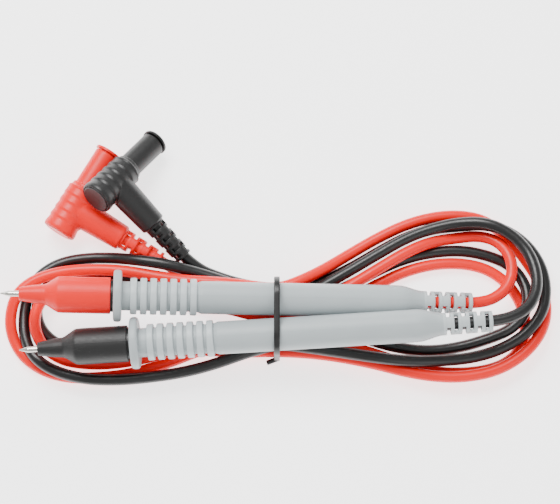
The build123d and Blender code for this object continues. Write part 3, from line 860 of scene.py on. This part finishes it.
def make_cord(colour, route, material):
    """The free cord as one smooth spline through its route."""
    curve = bpy.data.curves.new(colour + "_lead", "CURVE")
    curve.dimensions = "3D"
    curve.bevel_depth = CORD_D / 2
    curve.bevel_resolution = 6
    curve.resolution_u = 12
    curve.use_fill_caps = True
    spline = curve.splines.new("NURBS")
    spline.points.add(len(route) - 1)
    for point, where in zip(spline.points, route):
        point.co = (*where, 1.0)
    spline.order_u = 3
    spline.use_endpoint_u = True
    curve.materials.append(material)
    cord = bpy.data.objects.new(colour + "_lead", curve)
    bpy.context.collection.objects.link(cord)
    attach(cord, ROOT)
    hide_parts(colour + "_cord")


# ======================= the finishes of this set =======================
# Soft PVC, injection moulded: vivid, satin, rubbed pale where the cap is gripped.
CAP = {
    "red": moulded(
        "soft_pvc_moulded_red",
        "#FF0E04",
        "#F40A02",
        roughness=0.42,
        grain=0.5,
        relief=0.03,
        place=PROBES["red"],
        seam=0.12,
        scuff="#F4503C",
        ior=1.4,
    ),
    "black": moulded(
        "soft_pvc_moulded_black",
        "#191919",
        "#121212",
        roughness=0.5,
        grain=0.5,
        relief=0.03,
        place=PROBES["black"],
        seam=0.12,
        scuff="#4A4A4A",
    ),
}
# ABS, injection moulded in a spark-eroded tool: even fine grain, satin, with a parting line.
HANDLE_GREY = {
    colour: moulded(
        "abs_moulded_grey_" + colour,
        "#B1B9BB",
        "#A8B1B3",
        roughness=0.46,
        grain=0.45,
        relief=0.02,
        place=PROBES[colour],
        seam=0.10,
    )
    for colour in PROBES
}
# The ribs: the same ABS, smoother than the barrel where fingers polish them, and painted a little
# paler as painted highlight on their rims against the barrel grey in the grooves.
RIB_PAINTED_HIGHLIGHT_GREY = {
    colour: moulded(
        "abs_ribs_painted_highlight_grey_" + colour,
        "#C6CED0",
        "#BCC5C7",
        roughness=0.40,
        grain=0.45,
        relief=0.02,
        place=PROBES[colour],
        seam=0.10,
    )
    for colour in PROBES
}
# Thermoplastic rubber, moulded: paler and duller than the handle.
BOOT_GREY = moulded(
    "tpr_moulded_grey", "#C2CACB", "#B6BEC0", roughness=0.55, grain=0.4, relief=0.02, edge=0.3
)
# PVC overmoulding of the plugs: satin with tool grain.
PLUG_PVC = {
    "red": moulded(
        "pvc_overmould_red",
        "#FF0C06",
        "#F00804",
        roughness=0.38,
        grain=0.5,
        relief=0.03,
        ior=1.4,
        edge=0.25,
    ),
    "black": moulded(
        "pvc_overmould_black",
        "#1B1B1B",
        "#131313",
        roughness=0.40,
        grain=0.5,
        relief=0.03,
        edge=0.25,
    ),
}
# Soft PVC jacket, extruded: smooth, with one long highlight.
JACKET = {
    "red": moulded(
        "pvc_jacket_extruded_red",
        "#FF1206",
        "#F60E04",
        roughness=0.34,
        grain=1.1,
        relief=0.015,
        ior=1.4,
    ),
    "black": moulded(
        "pvc_jacket_extruded_black",
        "#151515",
        "#101010",
        roughness=0.34,
        grain=1.1,
        relief=0.015,
    ),
}
# Nylon, moulded: the dark inner core behind the cap.
CORE_BLACK = moulded(
    "nylon_moulded_black", "#111111", "#0C0C0C", roughness=0.42, grain=0.4, relief=0.02
)
# PVC-coated wire: dark, slightly glossy.
TIE_PVC = moulded(
    "pvc_coated_tie_black",
    "#0E0E0E",
    "#0A0A0A",
    roughness=0.36,
    grain=0.5,
    relief=0.02,
    edge=0.3,
)
# Hardened steel, ground and nickel plated: bright with fine rings.
NEEDLE_STEEL = {
    colour: turned_metal(
        "nickel_plated_steel_" + colour,
        "#D9D6CF",
        roughness=0.22,
        place=PROBES[colour],
        pitch=0.15,
    )
    for colour in PROBES
}
# Brass, turned and nickel plated.
PIN_NICKEL = {
    colour: turned_metal(
        "nickel_plated_brass_" + colour,
        "#D2CEC4",
        roughness=0.24,
        place=PLUGS[colour],
        pitch=0.2,
    )
    for colour in PLUGS
}
# Brass, tinned and crimped: dull and slightly yellow.
TINNED_BRASS = turned_metal("tinned_brass", "#C9BF9F", roughness=0.38, place=None, pitch=0.3)
# Steel wire, drawn.
TIE_STEEL = turned_metal("drawn_steel_wire", "#A9A9A6", roughness=0.32, place=None, pitch=0.1)


def finish_nodes():
    """Give each CAD node that still shows its material."""
    for colour in PROBES:
        finishes = {
            "needle": NEEDLE_STEEL[colour],
            "core": CORE_BLACK,
            "solder_cup": TINNED_BRASS,
            "probe_lead_end": JACKET[colour],
            "plug_end_disc": PLUG_PVC[colour],
            "plug_shroud": PLUG_PVC[colour],
            "banana_pin": PIN_NICKEL[colour],
            "spring_cage": PIN_NICKEL[colour],
            "plug_terminal": TINNED_BRASS,
            "plug_lead_end": JACKET[colour],
            "stopper": PLUG_PVC[colour],
        }
        for node, material in finishes.items():
            paint(colour + "_" + node, material)
    paint("tie_wire", TIE_STEEL)


def paint(node, material):
    mesh = frame["nodes"][node].data
    mesh.materials.clear()
    mesh.materials.append(material)


# ======================= making it =======================
make_camera()
ribs = rib_tree()
boot = boot_tree()
for colour in PROBES:
    arm_turn = Matrix.Rotation(math.pi / 2, 4, "Y")
    arm = PLUGS[colour] @ Matrix.Translation((0, 0, ARM_AT)) @ arm_turn
    make_boot(
            colour,
            "plug_boot",
            boot,
            arm @ Matrix.Translation((0, 0, ARM_LENGTH)),
            PLUG_BOOT_D,
            PLUG_BOOT_LENGTH,
            PLUG_PVC[colour],
        )
    softened(
            colour + "_plug_housing",
            HOUSING_VOXEL,
            HOUSING_PASSES,
            PLUG_PVC[colour],
        )
make_cord("red", RED_ROUTE, JACKET["red"])
make_cord("black", BLACK_ROUTE, JACKET["black"])
finish_nodes()
softened("tie_sleeve", TIE_VOXEL, TIE_PASSES, TIE_PVC)
for colour in PROBES:
    make_boot(
        colour,
        "probe_boot",
        boot,
        PROBES[colour] @ Matrix.Translation((0, 0, HANDLE_END)),
        PROBE_BOOT_D,
        PROBE_BOOT_LENGTH,
        BOOT_GREY,
    )
    make_tip_cap(colour)
    make_handle(colour)
    make_ribs(colour, ribs)

make_softbox("key", *KEY_LIGHT)
make_softbox("fill", *FILL_LIGHT)

world = bpy.data.worlds.new("studio")
world.use_nodes = True
sky = world.node_tree.nodes["Background"]
sky.inputs["Color"].default_value = WHITE
sky.inputs["Strength"].default_value = WORLD_STRENGTH
bpy.context.scene.world = world

floor_mesh = bpy.data.meshes.new("floor")
floor_corners = [
    (x * FLOOR_REACH, y * FLOOR_REACH, 0) for x, y in ((-1, -1), (1, -1), (1, 1), (-1, 1))
]
floor_mesh.from_pydata(floor_corners, [], [(0, 1, 2, 3)])
floor = bpy.data.objects.new("floor", floor_mesh)
paper, paper_tree, paper_shader = new_material("matte_paper_white", 0.9)
paper_shader.inputs["Base Color"].default_value = linear("#FAFAFA")
paper_shader.inputs["Emission Color"].default_value = WHITE
paper_shader.inputs["Emission Strength"].default_value = FLOOR_GLOW
floor_mesh.materials.append(paper)
bpy.context.collection.objects.link(floor)
